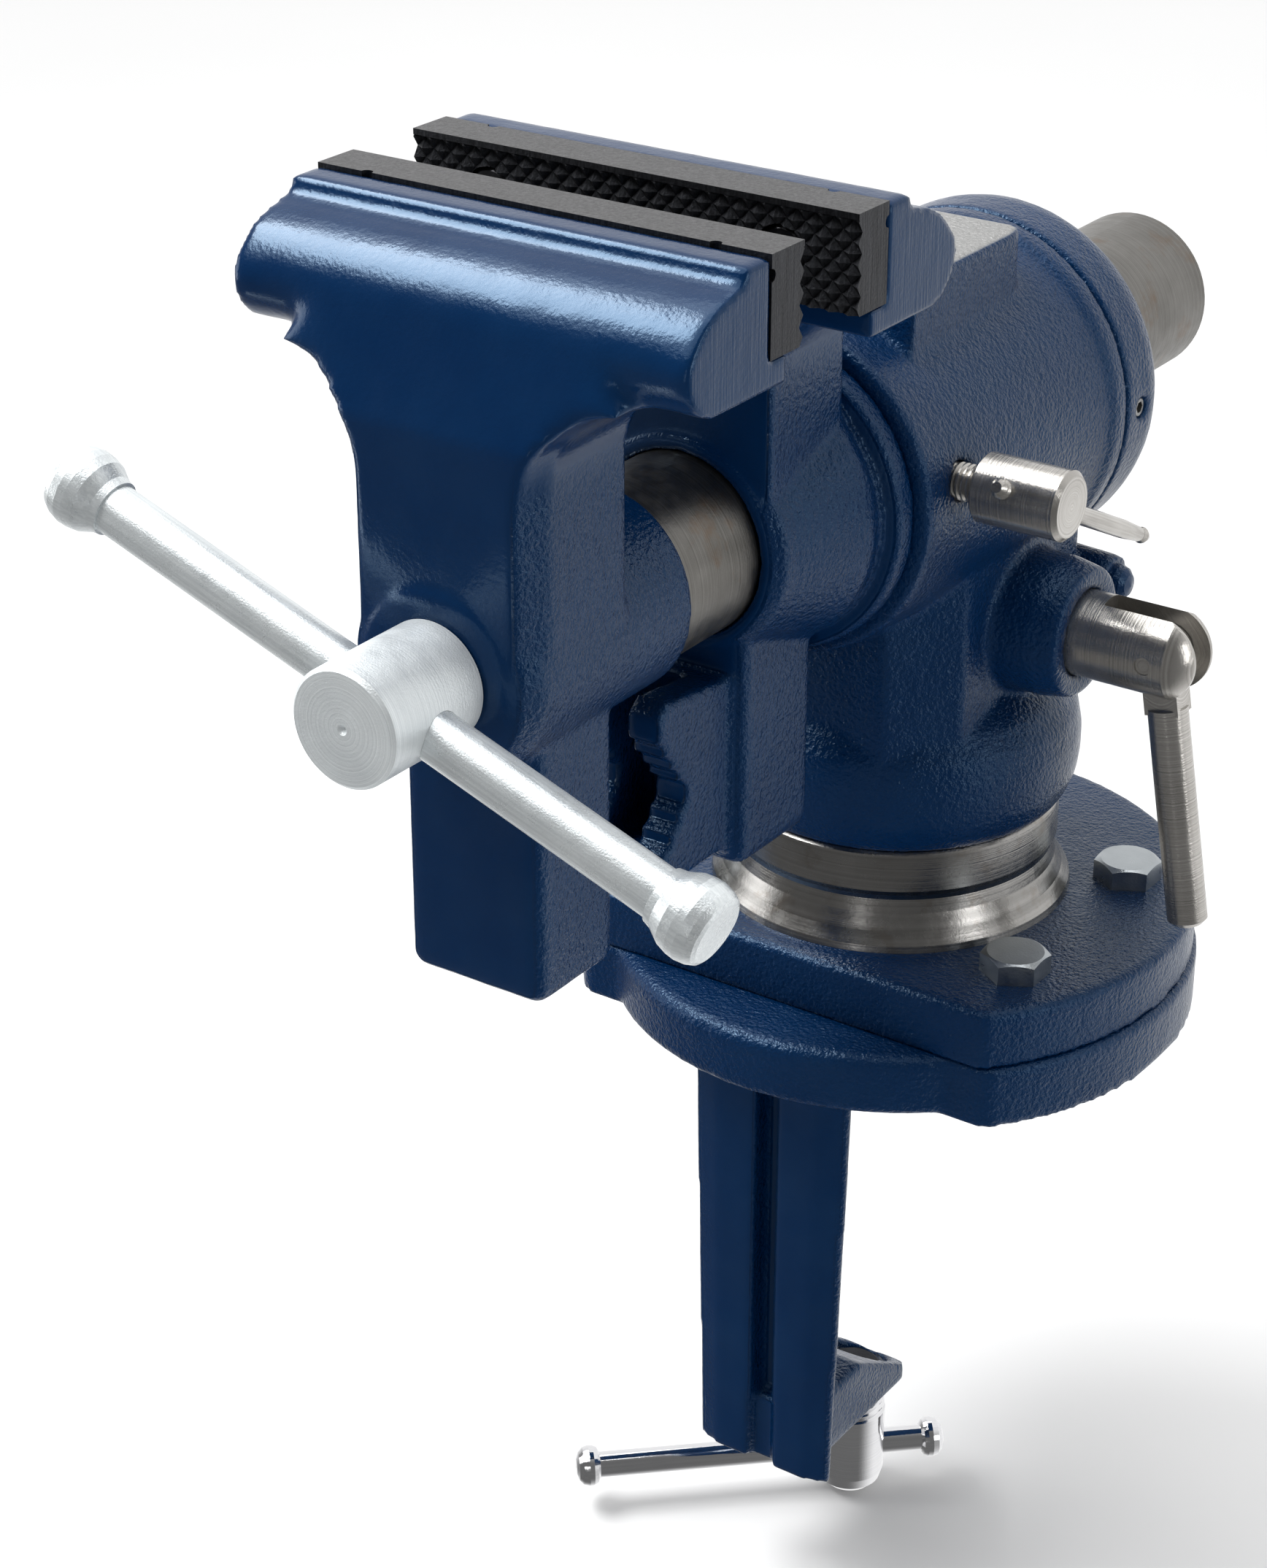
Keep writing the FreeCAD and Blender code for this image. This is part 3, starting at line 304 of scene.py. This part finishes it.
# ---- finishes -------------------------------------------------------------------
@dataclass(frozen=True)
class Enamel:
    """Navy gloss enamel sprayed over a sand casting, which shows through as orange peel."""

    name: str
    calm: tuple[tuple[Zone, ...], ...] = ()       # places fettled smooth before painting
    milled: tuple[tuple[Zone, ...], ...] = ()     # places milled flat, with upright cutter lines
    bare: tuple[tuple[Zone, ...], ...] = ()       # places ground bare after painting
    colour: Colour = (0.0008, 0.0150, 0.0580)
    thin: Colour = (0.0014, 0.0220, 0.0760)
    steel: Colour = (0.44, 0.44, 0.435)
    sheen_tint: Colour = (0.46, 0.72, 1.0)
    peel: float = 0.00058
    swell: float = 0.00025

    def places(self, shader: Shader, groups: tuple[tuple[Zone, ...], ...]) -> Socket | float:
        """Returns 1 in any of some places.

        Args:
            shader: the material that they are for.
            groups: the places, each the overlap of its zones.

        Returns:
            The share's socket, or 0 if there are no places.
        """
        total: Socket | float = 0.0
        for group in groups:
            share: Socket | float = 1.0
            for zone in group:
                share = shader.maths("MULTIPLY", share, zone.share(shader))
            total = shader.maths("MAXIMUM", total, share)
        return total

    def make(self) -> bpy.types.Material:
        """Returns the finished material."""
        shader = Shader(self.name)
        calm = self.places(shader, self.calm)
        milled = self.places(shader, self.milled)
        bare = self.places(shader, self.bare)
        smooth = shader.maths("MAXIMUM", calm, milled)
        rough = shader.maths("SUBTRACT", 1.0, shader.maths("MULTIPLY", smooth, 0.86))
        grain = shader.noise(820.0, 2.5, roughness=0.55)
        swell = shader.noise(210.0, 1.0)
        peel = shader.maths("MULTIPLY", grain, rough)
        first = shader.relief(shader.maths("MULTIPLY", swell, rough), self.swell)
        second = shader.relief(peel, self.peel, first)
        cutter = shader.noise(1500.0, 2.0, (1.0, 1.0, 0.03))
        third = shader.relief(shader.maths("MULTIPLY", cutter, milled), 0.00012, second)
        patches = shader.remap(shader.noise(38.0, 3.0), 0.35, 0.75)
        paint = shader.blend(shader.maths("MULTIPLY", patches, 0.55), self.colour, self.thin)
        ground = shader.remap(shader.noise(900.0, 3.0), 0.3, 0.7)
        metal = shader.blend(ground, self.steel, scaled(self.steel, 0.72))
        shine = shader.remap(shader.noise(75.0, 3.0), 0.3, 0.7, 0.15, 0.23)
        dull = shader.maths("ADD", shine, shader.maths("MULTIPLY", bare, 0.22))
        shader.set(Base_Color=shader.blend(bare, paint, metal), Roughness=dull, Normal=third,
                   Metallic=bare, Specular_IOR_Level=0.42,
                   Specular_Tint=shader.blend(bare, self.sheen_tint, (1.0, 1.0, 1.0)))
        return shader.material


@dataclass(frozen=True)
class Steel:
    """A bare or plated steel, with the marks of how it was made."""

    name: str
    light: Colour
    dark: Colour
    gloss: tuple[float, float]
    lay: Lay = Lay.GRAINY
    direction: Point = (0.0, 1.0, 0.0)
    centre: Point = (0.0, 0.0, 0.0)
    lines_per_metre: float = 2600.0
    line_depth: float = 0.00006
    grain_scale: float = 1400.0
    grain_depth: float = 0.00006
    stain: Colour | None = None
    stain_scale: float = 60.0
    metal: float = 1.0

    def marks(self, shader: Shader) -> Socket:
        """Returns the lines that the finish has, from 0 to 1.

        Args:
            shader: the material that they are for.

        Returns:
            The lines' socket.
        """
        offset = shader.vector("SUBTRACT", shader.position, self.centre).outputs["Vector"]
        reach = shader.along(offset, self.direction)
        if self.lay is Lay.TURNED:
            spread = shader.vector("CROSS_PRODUCT", offset, self.direction).outputs["Vector"]
            radius = shader.vector("LENGTH", spread, (0.0, 0.0, 0.0)).outputs["Value"]
            return shader.lines(shader.maths("ADD", reach, radius), self.lines_per_metre)
        along = Vector(self.direction)
        side = along.orthogonal().normalized()
        up = along.cross(side)
        combined = shader.tree.nodes.new("ShaderNodeCombineXYZ")
        for number, (unit, factor) in enumerate(((side, 1.0), (up, 1.0), (along, 0.02))):
            length = shader.maths("MULTIPLY", shader.along(offset, tuple(unit)), factor)
            shader.link(length, combined.inputs[number])
        return shader.noise(self.lines_per_metre, 2.0, where=combined.outputs[0])

    def make(self) -> bpy.types.Material:
        """Returns the finished material."""
        shader = Shader(self.name)
        grain = shader.noise(self.grain_scale, 3.0, roughness=0.6)
        clouds = shader.remap(shader.noise(45.0, 3.0), 0.3, 0.7)
        bumps = shader.relief(grain, self.grain_depth)
        tone = shader.maths("MULTIPLY", clouds, 0.5)
        if self.lay is not Lay.GRAINY:
            marks = self.marks(shader)
            bumps = shader.relief(marks, self.line_depth, bumps)
            tone = shader.maths("ADD", tone, shader.remap(marks, 0.3, 0.7, -0.1, 0.5), clamp=True)
        colour = shader.blend(tone, self.light, self.dark)
        if self.stain is not None:
            spots = shader.remap(shader.noise(self.stain_scale, 4.0, roughness=0.65), 0.56, 0.72)
            colour = shader.blend(shader.maths("MULTIPLY", spots, 0.5), colour, self.stain)
        gloss = shader.remap(shader.noise(220.0, 3.0), 0.3, 0.7, *self.gloss)
        shader.set(Base_Color=colour, Metallic=self.metal, Roughness=gloss, Normal=bumps)
        return shader.material


@dataclass(frozen=True)
class JawPlateSteel:
    """Black oxide jaw plate with a ground top and brushed ends."""

    name: str
    top_height: float = 0.2735
    top_band: float = 0.0006
    ground: Colour = (0.115, 0.115, 0.118)
    black: Colour = (0.020, 0.021, 0.024)

    def make(self) -> bpy.types.Material:
        """Returns the finished material."""
        shader = Shader(self.name)
        looks_up = shader.remap(shader.along(shader.normal, Axis.Z.value), 0.55, 0.8)
        height = shader.along(shader.position, Axis.Z.value)
        at_top = shader.remap(height, self.top_height - self.top_band, self.top_height)
        top = shader.maths("MULTIPLY", looks_up, at_top)
        sideways = shader.maths("ABSOLUTE", shader.along(shader.normal, Axis.X.value))
        looks_out = shader.remap(sideways, 0.6, 0.8)
        grit = shader.noise(1250.0, 4.0, roughness=0.7)
        brush = shader.noise(1700.0, 3.0, (1.0, 1.0, 0.035))
        bumps = shader.relief(grit, 0.00018)
        bumps = shader.relief(shader.maths("MULTIPLY", brush, looks_out), 0.00016, bumps)
        steel = shader.blend(shader.remap(grit, 0.3, 0.7), self.ground, scaled(self.ground, 0.55))
        oxide = shader.blend(shader.remap(brush, 0.35, 0.7), self.black, scaled(self.black, 2.2))
        rough = shader.remap(grit, 0.3, 0.7, 0.34, 0.50)
        shader.set(Base_Color=shader.blend(top, oxide, steel), Metallic=0.9, Roughness=rough,
                   Normal=bumps)
        return shader.material


@dataclass(frozen=True)
class StudioFloor:
    """The plain pale floor."""

    name: str = "studio_floor"
    colour: Colour = (0.80, 0.80, 0.80)

    def make(self) -> bpy.types.Material:
        """Returns the finished material."""
        shader = Shader(self.name)
        tone = shader.remap(shader.noise(3.0, 2.0), 0.3, 0.7)
        shader.set(Base_Color=shader.blend(tone, self.colour, scaled(self.colour, 0.985)),
                   Roughness=0.9, Specular_IOR_Level=0.2)
        return shader.material


# ---- pieces ---------------------------------------------------------------------
def put_on(piece: bpy.types.Object, material: bpy.types.Material) -> None:
    """Gives a piece one material all over.

    Args:
        piece: the piece.
        material: its material.
    """
    piece.data.materials.clear()
    piece.data.materials.append(material)


def dress_node(name: str, material: bpy.types.Material) -> None:
    """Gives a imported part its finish.

    Args:
        name: the part's node.
        material: its material.
    """
    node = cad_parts[name]
    for slot in node.material_slots:
        slot.material = material
    if not node.material_slots:
        node.data.materials.append(material)
    LOG.info("%s wears %s", name, material.name)


@dataclass
class Casting:
    """A sand casting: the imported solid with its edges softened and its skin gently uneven."""

    node: str
    body: str
    voxel: float = 0.0012
    passes: int = 4
    ripple: float = 0.00012
    ripple_size: float = 0.006
    blend_low: Point | None = None
    blend_high: Point | None = None
    blend_passes: int = 24
    blend_edge: float = 0.005

    def melt(self, piece: bpy.types.Object) -> None:
        """Smooths the place where two masses of the casting run into each other.

        Args:
            piece: the casting, already remeshed.
        """
        group = piece.vertex_groups.new(name="blended")
        for vertex in piece.data.vertices:
            depth = min(min(c - a, b - c) for a, c, b in zip(self.blend_low, vertex.co, self.blend_high))
            if depth > 0:
                group.add([vertex.index], min(1.0, depth / self.blend_edge), "REPLACE")
        melted = piece.modifiers.new("melted", "SMOOTH")
        melted.factor, melted.iterations, melted.vertex_group = 0.5, self.blend_passes, group.name
        self.apply(piece)
        piece.vertex_groups.clear()

    def apply(self, piece: bpy.types.Object) -> None:
        """Makes the piece's modifiers part of its mesh.

        Args:
            piece: the casting.
        """
        finished = piece.evaluated_get(bpy.context.evaluated_depsgraph_get())
        shape = bpy.data.meshes.new_from_object(finished)
        piece.modifiers.clear()
        piece.data = shape

    def build(self) -> bpy.types.Object:
        """Returns the softened casting, riding on its body and standing for its node."""
        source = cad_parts[self.node]
        piece = bpy.data.objects.new(f"{self.node}_casting", source.data.copy())
        bpy.context.scene.collection.objects.link(piece)
        remesh = piece.modifiers.new("skin", "REMESH")
        remesh.mode, remesh.voxel_size, remesh.use_smooth_shade = "VOXEL", self.voxel, True
        self.apply(piece)
        if self.blend_low is not None:
            self.melt(piece)
        soften = piece.modifiers.new("soft_edges", "SMOOTH")
        soften.factor, soften.iterations = 0.5, self.passes
        clouds = bpy.data.textures.new(f"{self.node}_ripple", "CLOUDS")
        clouds.noise_scale, clouds.noise_depth = self.ripple_size, 1
        uneven = piece.modifiers.new("uneven_skin", "DISPLACE")
        uneven.texture, uneven.texture_coords = clouds, "LOCAL"
        uneven.strength, uneven.mid_level = self.ripple, 0.5
        self.apply(piece)
        piece.data.polygons.foreach_set("use_smooth", [True] * len(piece.data.polygons))
        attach(piece, self.body)
        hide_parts(self.node)
        LOG.info("%s has %d faces", piece.name, len(piece.data.polygons))
        return piece


@dataclass
class Jaws:
    """The two jaws: castings, hardened plates and their screws."""

    nose_low: float = 0.222
    end_face: float = 0.0612

    def paint(self, name: str, front: float) -> bpy.types.Material:
        """Returns a jaw's enamel, smooth on its face and milled at the nose's ends.

        Args:
            name: the material's name.
            front: 1 where the fettled face looks to the rear, -1 to the front.

        Returns:
            The material.
        """
        face = Zone(Axis.Y, 0.80 * front, 0.93 * front, facing=True)
        nose = Zone(Axis.Z, self.nose_low - 0.006, self.nose_low + 0.004)
        ends = (Zone(Axis.X, 0.93, 0.98, facing=True, both_sides=True),
                Zone(Axis.X, self.end_face - 0.0008, self.end_face, both_sides=True))
        return Enamel(name, calm=((face,), (nose,)), milled=(ends,)).make()

    def build(self) -> None:
        """Makes and dresses both jaws."""
        front = Casting("front_jaw", "jaw", blend_low=(-0.058, -0.216, 0.236),
                        blend_high=(0.058, -0.190, 0.262), blend_passes=40)
        put_on(front.build(), self.paint("enamel_front_jaw", -1.0))
        put_on(Casting("rear_jaw", "head").build(), self.paint("enamel_rear_jaw", -1.0))
        plate = JawPlateSteel("black_oxide_plate").make()
        screw = Steel("black_screw", (0.06, 0.06, 0.065), (0.03, 0.03, 0.032), (0.35, 0.5)).make()
        for end in ("front", "rear"):
            dress_node(f"{end}_jaw_plate", plate)
            dress_node(f"{end}_plate_screws", screw)


@dataclass
class Slide:
    """The round slide tube with its sleeve, ring and the nut inside."""

    tube: Steel = Steel("satin_tube", (0.22, 0.213, 0.20), (0.115, 0.11, 0.10), (0.32, 0.44), Lay.TURNED,
                        Axis.Y.value, MAIN_AXIS, 1500.0, 0.00003, 900.0, 0.00005,
                        stain=(0.16, 0.095, 0.05), stain_scale=70.0)
    hidden: Steel = Steel("machined_steel", (0.42, 0.42, 0.41), (0.28, 0.28, 0.27), (0.28, 0.38),
                          Lay.TURNED, Axis.Y.value, MAIN_AXIS)

    def build(self) -> None:
        """Dresses the slide's parts."""
        tube, hidden = self.tube.make(), self.hidden.make()
        dress_node("slide_tube", tube)
        for name in ("head_sleeve", "spindle_nut", "nut_stud", "tube_grub", "ring_screws"):
            dress_node(name, hidden)
        ring = Enamel("enamel_ring", calm=((Zone(Axis.Y, 0.9, 0.97, facing=True),),)).make()
        put_on(Casting("retaining_ring", "head", voxel=0.0011).build(), ring)


@dataclass
class Spindle:
    """The zinc-plated spindle head with its sliding handle."""

    plate_light: Colour = (0.84, 0.88, 0.89)
    plate_dark: Colour = (0.58, 0.62, 0.64)
    dip: float = math.radians(19.5)
    bar_centre: Point = (0.0, -0.2265, 0.174)

    def build(self) -> None:
        """Dresses the spindle and handle."""
        head = Steel("zinc_turned", self.plate_light, self.plate_dark, (0.32, 0.46), Lay.TURNED,
                     Axis.Y.value, MAIN_AXIS, 2200.0, 0.00002, 1900.0, 0.00011, metal=0.50).make()
        along = (math.cos(self.dip), 0.0, -math.sin(self.dip))
        bar = Steel("zinc_drawn", self.plate_light, self.plate_dark, (0.24, 0.36), Lay.DRAWN, along,
                    self.bar_centre, 1500.0, 0.00002, 1900.0, 0.00009, metal=0.65).make()
        dress_node("spindle_head", head)
        for name in ("handle_bar", "handle_knobs"):
            dress_node(name, bar)
        screw = Steel("oiled_screw", (0.40, 0.40, 0.39), (0.22, 0.22, 0.21), (0.25, 0.35)).make()
        for name in ("spindle", "spindle_collar", "collar_pin"):
            dress_node(name, screw)


@dataclass
class Locks:
    """The head lock and the swivel lock, nickel plated."""

    light: Colour = (0.62, 0.60, 0.57)
    dark: Colour = (0.36, 0.345, 0.32)
    bar_tilt: float = math.radians(-25.8)      # of the lock bar, from straight back, upwards
    lever_lean: float = math.radians(10.0)     # of the lever, from straight down, outwards
    pin: Point = (0.081, 0.0, 0.124)

    def nickel(self, name: str, lay: Lay, direction: Point, centre: Point,
               depth: float) -> bpy.types.Material:
        """Returns a nickel plate with marks along or round an axis.

        Args:
            name: the material's name.
            lay: how the marks lie.
            direction: the axis of the marks.
            centre: a point on that axis.
            depth: how deep the marks are.

        Returns:
            The material.
        """
        return Steel(name, self.light, self.dark, (0.16, 0.27), lay, direction, centre, 1900.0, depth,
                     1600.0, 0.00004, metal=0.9).make()

    def build(self) -> None:
        """Dresses both locks."""
        bar_way = (0.0, math.cos(self.bar_tilt), math.sin(self.bar_tilt))
        lever_way = (math.sin(self.lever_lean), 0.0, -math.cos(self.lever_lean))
        marks = (
            ("head_lock_screw", "nickel_lock_screw", Lay.TURNED, Axis.X.value, LOCK_AXIS, 0.00005),
            ("head_lock_bar", "nickel_lock_bar", Lay.DRAWN, bar_way, LOCK_AXIS, 0.00003),
            ("swivel_shaft", "nickel_shaft", Lay.TURNED, Axis.X.value, SWIVEL_LOCK_AXIS, 0.00004),
            ("clevis_pin", "nickel_pin", Lay.TURNED, Axis.Y.value, self.pin, 0.00003),
            ("swivel_lever", "nickel_lever", Lay.TURNED, lever_way, self.pin, 0.00005),
        )
        for node, *finish in marks:
            dress_node(node, self.nickel(*finish))
        brass = Steel("brass_shoe", (0.62, 0.42, 0.16), (0.44, 0.28, 0.10), (0.25, 0.4)).make()
        for name in ("head_lock_shoe", "swivel_plunger"):
            dress_node(name, brass)


@dataclass
class Housing:
    """The swivelling housing with its barrel, anvil and lock bosses."""

    anvil_top: float = 0.2288

    def build(self) -> None:
        """Makes and dresses the housing."""
        pad = (Zone(Axis.Z, self.anvil_top - 0.0004, self.anvil_top + 0.0002),
               Zone(Axis.Z, 0.80, 0.93, facing=True))
        paint = Enamel("enamel_housing", bare=(pad,)).make()
        put_on(Casting("housing", "swivel").build(), paint)
        plug = Enamel("enamel_plug", calm=((Zone(Axis.X, 0.5, 0.9, facing=True),),)).make()
        dress_node("grease_plug", plug)


@dataclass
class Base:
    """The base plate, its turned spigot, the bolts and the clamp bracket."""

    voxel: float = 0.0013
    spigot: Steel = Steel("turned_spigot", (0.42, 0.41, 0.395), (0.25, 0.245, 0.235), (0.20, 0.30),
                          Lay.TURNED, Axis.Z.value, (0.0, 0.0, 0.0), 1100.0, 0.00005, 900.0, 0.00004,
                          stain=(0.20, 0.16, 0.12), stain_scale=90.0)
    bolts: Steel = Steel("zinc_bolts", (0.45, 0.48, 0.50), (0.27, 0.30, 0.32), (0.26, 0.40))

    def build(self) -> None:
        """Makes and dresses the base."""
        put_on(Casting("base_plate", "base", voxel=self.voxel).build(),
               Enamel("enamel_base_plate").make())
        strips = (Zone(Axis.Y, -0.80, -0.93, facing=True), Zone(Axis.Z, 0.0, -0.01))
        put_on(Casting("clamp_bracket", "base", voxel=self.voxel).build(),
               Enamel("enamel_bracket", calm=(strips,)).make())
        dress_node("swivel_spigot", self.spigot.make())
        dress_node("base_bolts", self.bolts.make())


@dataclass
class TableClamp:
    """The chromed clamp screw with its phosphated pad and sliding bar."""

    light: Colour = (0.86, 0.86, 0.87)
    dark: Colour = (0.74, 0.74, 0.76)
    pad: Steel = Steel("phosphated_pad", (0.035, 0.037, 0.042), (0.018, 0.019, 0.022), (0.45, 0.6))
    bar_angle: float = math.radians(42.6)

    def build(self) -> None:
        """Dresses the clamp."""
        along = (math.cos(self.bar_angle), math.sin(self.bar_angle), 0.0)
        screw = Steel("chrome_turned", self.light, self.dark, (0.06, 0.13), Lay.TURNED, Axis.Z.value,
                      CLAMP_AXIS, 1800.0, 0.000012, 1500.0, 0.000012).make()
        bar = Steel("chrome_drawn", self.light, self.dark, (0.05, 0.12), Lay.DRAWN, along, CLAMP_AXIS,
                    1500.0, 0.000012, 1500.0, 0.000012).make()
        dress_node("clamp_screw", screw)
        dress_node("clamp_pad", self.pad.make())
        for name in ("clamp_bar", "clamp_bar_ends"):
            dress_node(name, bar)


# ---- studio ---------------------------------------------------------------------
@dataclass(frozen=True)
class SoftBox:
    """One soft light: where it hangs, seen from the vise, how large and how bright it is."""

    name: str
    direction: Point
    distance: float
    size: tuple[float, float]
    radiance: float
    tint: Colour = (1.0, 1.0, 1.0)

    def hang(self, target: Vector) -> None:
        """Hangs the light and turns it to the vise.

        Args:
            target: the point it looks at.
        """
        data = bpy.data.lights.new(self.name, "AREA")
        data.shape, data.size, data.size_y = "RECTANGLE", *self.size
        data.energy = self.radiance * math.pi * self.size[0] * self.size[1]
        data.color = self.tint
        light = bpy.data.objects.new(self.name, data)
        towards = Vector(self.direction).normalized()
        light.location = target + towards * self.distance
        light.rotation_euler = towards.to_track_quat("Z", "Y").to_euler()
        light.visible_camera = False
        bpy.context.scene.collection.objects.link(light)


@dataclass
class Studio:
    """The pale floor, the soft lights and the camera."""

    eye: Point = (0.4304, -0.7521, 0.4884)
    gaze: Point = (-0.51076, 0.73683, -0.44292)
    lens: float = 76.86
    floor_reach: float = 40.0
    bright_side: Point = (0.10, 0.99, 0.0)
    change: tuple[float, float] = (-0.35, 0.60)    # where the dim room turns into the sweep
    dim: float = 0.15
    bright: float = 1.0
    sky_tilt: Point = (-0.30, -0.12, 0.94)
    sky_strength: float = 2.1
    sky_spread: float = math.radians(70.0)
    boxes: tuple[SoftBox, ...] = (
        SoftBox("overhead_box", (-0.50, -0.20, 0.84), 1.30, (0.70, 0.44), 15.0),
        SoftBox("right_box", (0.96, -0.05, 0.25), 1.40, (0.30, 0.90), 3.5),
        SoftBox("left_box", (-0.92, -0.38, 0.16), 1.40, (0.60, 0.80), 2.4),
        SoftBox("front_strip", (0.20, -0.95, 0.10), 1.60, (0.10, 0.80), 2.2),
    )

    def build_floor(self, height: float) -> None:
        """Lays the floor.

        Args:
            height: the floor's height.
        """
        shape = bmesh.new()
        bmesh.ops.create_circle(shape, cap_ends=True, segments=96, radius=self.floor_reach)
        mesh = bpy.data.meshes.new("studio_floor")
        shape.to_mesh(mesh)
        shape.free()
        floor = bpy.data.objects.new("studio_floor", mesh)
        floor.location.z = height
        floor.visible_glossy = False
        bpy.context.scene.collection.objects.link(floor)
        put_on(floor, StudioFloor().make())

    def build_backdrop(self) -> None:
        """Closes the room with a plain white dome that only the camera sees."""
        shape = bmesh.new()
        bmesh.ops.create_icosphere(shape, subdivisions=4, radius=self.floor_reach * 0.95)
        mesh = bpy.data.meshes.new("studio_backdrop")
        shape.to_mesh(mesh)
        shape.free()
        dome = bpy.data.objects.new("studio_backdrop", mesh)
        bpy.context.scene.collection.objects.link(dome)
        shader = Shader("studio_backdrop")
        haze = shader.remap(shader.noise(0.05, 2.0), 0.3, 0.7, 0.99, 1.02)
        shader.set(Base_Color=(0.0, 0.0, 0.0), Roughness=1.0, Specular_IOR_Level=0.0,
                   Emission_Color=(1.0, 1.0, 1.0), Emission_Strength=haze)
        put_on(dome, shader.material)
        dome.visible_diffuse = dome.visible_glossy = dome.visible_transmission = False
        dome.visible_shadow = dome.visible_volume_scatter = False

    def build_camera(self) -> None:
        """Places the camera."""
        data = bpy.data.cameras.new("studio_camera")
        data.lens, data.sensor_width, data.sensor_fit = self.lens, 36.0, "AUTO"
        data.clip_start, data.clip_end = 0.01, self.floor_reach * 1.5
        camera = bpy.data.objects.new("studio_camera", data)
        camera.location = self.eye
        camera.rotation_euler = Vector(self.gaze).to_track_quat("-Z", "Y").to_euler()
        bpy.context.scene.collection.objects.link(camera)
        bpy.context.scene.camera = camera

    def build_sky(self) -> None:
        """Hangs the wide, even panel that lights the whole floor."""
        data = bpy.data.lights.new("sky_panel", "SUN")
        data.energy, data.angle = self.sky_strength, self.sky_spread
        light = bpy.data.objects.new("sky_panel", data)
        light.rotation_euler = Vector(self.sky_tilt).to_track_quat("Z", "Y").to_euler()
        bpy.context.scene.collection.objects.link(light)

    def build_surround(self) -> bpy.types.World:
        """Returns the room round the vise: a bright sweep behind it and a dim room in front."""
        world = bpy.data.worlds.new("studio_surround")
        world.use_nodes = True
        tree = world.node_tree
        direction = tree.nodes.new("ShaderNodeTexCoord").outputs["Generated"]
        behind = tree.nodes.new("ShaderNodeVectorMath")
        behind.operation = "DOT_PRODUCT"
        tree.links.new(direction, behind.inputs[0])
        behind.inputs[1].default_value = self.bright_side
        level = tree.nodes.new("ShaderNodeMapRange")
        level.interpolation_type = "SMOOTHSTEP"
        tree.links.new(behind.outputs["Value"], level.inputs[0])
        for socket, value in zip(level.inputs[1:5], (*self.change, self.dim, self.bright)):
            socket.default_value = value
        backdrop = tree.nodes["Background"]
        backdrop.inputs["Color"].default_value = (1.0, 1.0, 1.0, 1.0)
        tree.links.new(level.outputs[0], backdrop.inputs["Strength"])
        return world

    def build(self) -> None:
        """Sets up the whole studio."""
        low, high = CAD_BOX
        self.build_sky()
        self.build_floor(low.z - 0.0004)
        self.build_backdrop()
        self.build_camera()
        for box in self.boxes:
            box.hang((low + high) / 2)
        scene = bpy.context.scene
        scene.world = self.build_surround()
        scene.view_settings.view_transform = "Standard"
        scene.view_settings.look = "None"


@dataclass
class Vise:
    """The whole bench vise."""

    groups: list[object] = field(default_factory=lambda: [
        Jaws(), Slide(), Spindle(), Locks(), Housing(), Base(), TableClamp()])

    def build(self) -> None:
        """Builds and dresses each group in order."""
        for group in self.groups:
            group.build()
            LOG.info("%s is done", type(group).__name__)


def main() -> None:
    logging.basicConfig(level=logging.INFO, format="%(name)s: %(message)s", force=True)
    Studio().build()
    Vise().build()


if __name__ == "__main__":
    main()
